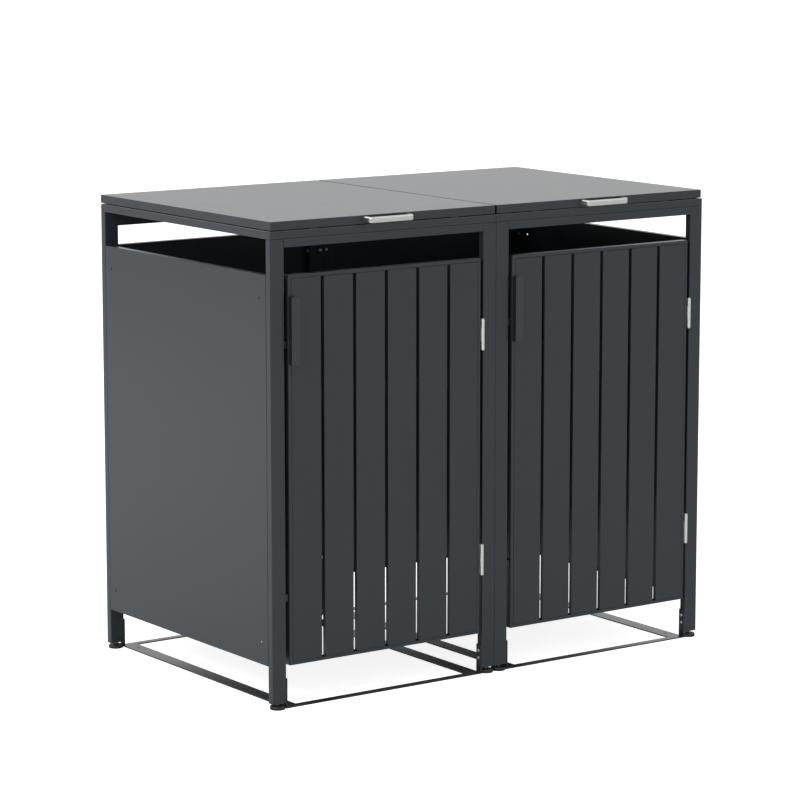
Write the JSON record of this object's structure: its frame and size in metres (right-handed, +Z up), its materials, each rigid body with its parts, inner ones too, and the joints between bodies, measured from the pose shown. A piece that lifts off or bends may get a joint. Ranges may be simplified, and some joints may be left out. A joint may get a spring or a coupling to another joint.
{
  "type": "wheelie bin store",
  "caption": "Sheet steel store for two wheelie bins side by side, each bay with a slatted door hinged on the right, a lid hinged at the back and levelling feet.",
  "frame": {"origin": "middle of the bounding box, at its bottom, where the feet stand on the ground", "axes": "+X to the right along the front, +Y from the doors to the back, +Z up"},
  "size_m": [1.36, 0.8396, 1.204],
  "materials": {
    "frame_coat": "satin powder coat, anthracite grey",
    "ring_coat": "satin powder coat, anthracite grey",
    "panel_coat": "satin powder coat, anthracite grey",
    "lid_coat": "satin powder coat, anthracite grey",
    "door_coat": "satin powder coat, anthracite grey",
    "slat_coat": "satin powder coat, anthracite grey",
    "pull_coat": "satin powder coat, darker grey",
    "floor_coat": "satin powder coat, anthracite grey",
    "handle_steel": "satin",
    "hinge_steel": "satin",
    "zinc_screw": "zinc plated",
    "foot_plastic": "matt black moulding on a zinc plated stem",
    "black_plastic": "matt",
    "catch_plastic": "matt",
    "rubber": "matt"
  },
  "bodies": {
    "carcass": {"left_front_frame": "frame_coat", "left_back_frame": "frame_coat", "left_top_ring": "ring_coat", "left_ring_screws": "zinc_screw", "left_side_panel": "panel_coat", "left_back_panel": "panel_coat", "left_panel_screws": "zinc_screw", "left_floor_frame": "floor_coat", "left_floor_screws": "zinc_screw", "left_post_plugs": "black_plastic", "left_lid_buffers": "rubber", "left_lid_hinge_ring_leaves": "hinge_steel", "left_hinge_pins": "hinge_steel", "left_door_catches": "catch_plastic", "left_door_hinge_post_leaves": "hinge_steel", "right_front_frame": "frame_coat", "right_back_frame": "frame_coat", "right_top_ring": "ring_coat", "right_ring_screws": "zinc_screw", "right_side_panel": "panel_coat", "right_back_panel": "panel_coat", "right_panel_screws": "zinc_screw", "right_floor_frame": "floor_coat", "right_floor_screws": "zinc_screw", "right_post_plugs": "black_plastic", "right_lid_buffers": "rubber", "right_lid_hinge_ring_leaves": "hinge_steel", "right_hinge_pins": "hinge_steel", "right_door_catches": "catch_plastic", "right_door_hinge_post_leaves": "hinge_steel", "bay_link_plates": "frame_coat", "bay_link_screws": "zinc_screw"},
    "left_door": {"left_door_frame": "door_coat", "left_door_slats": "slat_coat", "left_door_crossbars": "door_coat", "left_door_pull": "pull_coat", "left_door_hinge_door_leaves": "hinge_steel"},
    "left_lid": {"left_lid": "lid_coat", "left_lid_stiffeners": "lid_coat", "left_lid_handle": "handle_steel", "left_handle_screws": "zinc_screw", "left_lid_hinge_lid_leaves": "hinge_steel"},
    "right_door": {"right_door_frame": "door_coat", "right_door_slats": "slat_coat", "right_door_crossbars": "door_coat", "right_door_pull": "pull_coat", "right_door_hinge_door_leaves": "hinge_steel"},
    "right_lid": {"right_lid": "lid_coat", "right_lid_stiffeners": "lid_coat", "right_lid_handle": "handle_steel", "right_handle_screws": "zinc_screw", "right_lid_hinge_lid_leaves": "hinge_steel"},
    "left_bay_front_left_foot": {"left_bay_front_left_foot": "foot_plastic"},
    "left_bay_front_right_foot": {"left_bay_front_right_foot": "foot_plastic"},
    "left_bay_back_left_foot": {"left_bay_back_left_foot": "foot_plastic"},
    "left_bay_back_right_foot": {"left_bay_back_right_foot": "foot_plastic"},
    "right_bay_front_left_foot": {"right_bay_front_left_foot": "foot_plastic"},
    "right_bay_front_right_foot": {"right_bay_front_right_foot": "foot_plastic"},
    "right_bay_back_left_foot": {"right_bay_back_left_foot": "foot_plastic"},
    "right_bay_back_right_foot": {"right_bay_back_right_foot": "foot_plastic"}
  },
  "joints": [
    {"name": "left_door_hinge", "type": "hinge", "parent": "carcass", "child": "left_door", "pos_m": [-0.045, -0.39475, 0.5905], "axis": [0, 0, 1], "range_deg": [0, 110]},
    {"name": "right_door_hinge", "type": "hinge", "parent": "carcass", "child": "right_door", "pos_m": [0.635, -0.39475, 0.5905], "axis": [0, 0, 1], "range_deg": [0, 110]},
    {"name": "left_lid_hinge", "type": "hinge", "parent": "carcass", "child": "left_lid", "pos_m": [-0.34, 0.41525, 1.178], "axis": [-1, 0, 0], "range_deg": [0, 100]},
    {"name": "right_lid_hinge", "type": "hinge", "parent": "carcass", "child": "right_lid", "pos_m": [0.34, 0.41525, 1.178], "axis": [-1, 0, 0], "range_deg": [0, 100]},
    {"name": "left_bay_front_left_foot_level", "type": "slide", "parent": "carcass", "child": "left_bay_front_left_foot", "axis": [0, 0, -1], "range_m": [-0.003, 0.02]},
    {"name": "left_bay_front_right_foot_level", "type": "slide", "parent": "carcass", "child": "left_bay_front_right_foot", "axis": [0, 0, -1], "range_m": [-0.003, 0.02]},
    {"name": "left_bay_back_left_foot_level", "type": "slide", "parent": "carcass", "child": "left_bay_back_left_foot", "axis": [0, 0, -1], "range_m": [-0.003, 0.02]},
    {"name": "left_bay_back_right_foot_level", "type": "slide", "parent": "carcass", "child": "left_bay_back_right_foot", "axis": [0, 0, -1], "range_m": [-0.003, 0.02]},
    {"name": "right_bay_front_left_foot_level", "type": "slide", "parent": "carcass", "child": "right_bay_front_left_foot", "axis": [0, 0, -1], "range_m": [-0.003, 0.02]},
    {"name": "right_bay_front_right_foot_level", "type": "slide", "parent": "carcass", "child": "right_bay_front_right_foot", "axis": [0, 0, -1], "range_m": [-0.003, 0.02]},
    {"name": "right_bay_back_left_foot_level", "type": "slide", "parent": "carcass", "child": "right_bay_back_left_foot", "axis": [0, 0, -1], "range_m": [-0.003, 0.02]},
    {"name": "right_bay_back_right_foot_level", "type": "slide", "parent": "carcass", "child": "right_bay_back_right_foot", "axis": [0, 0, -1], "range_m": [-0.003, 0.02]}
  ]
}
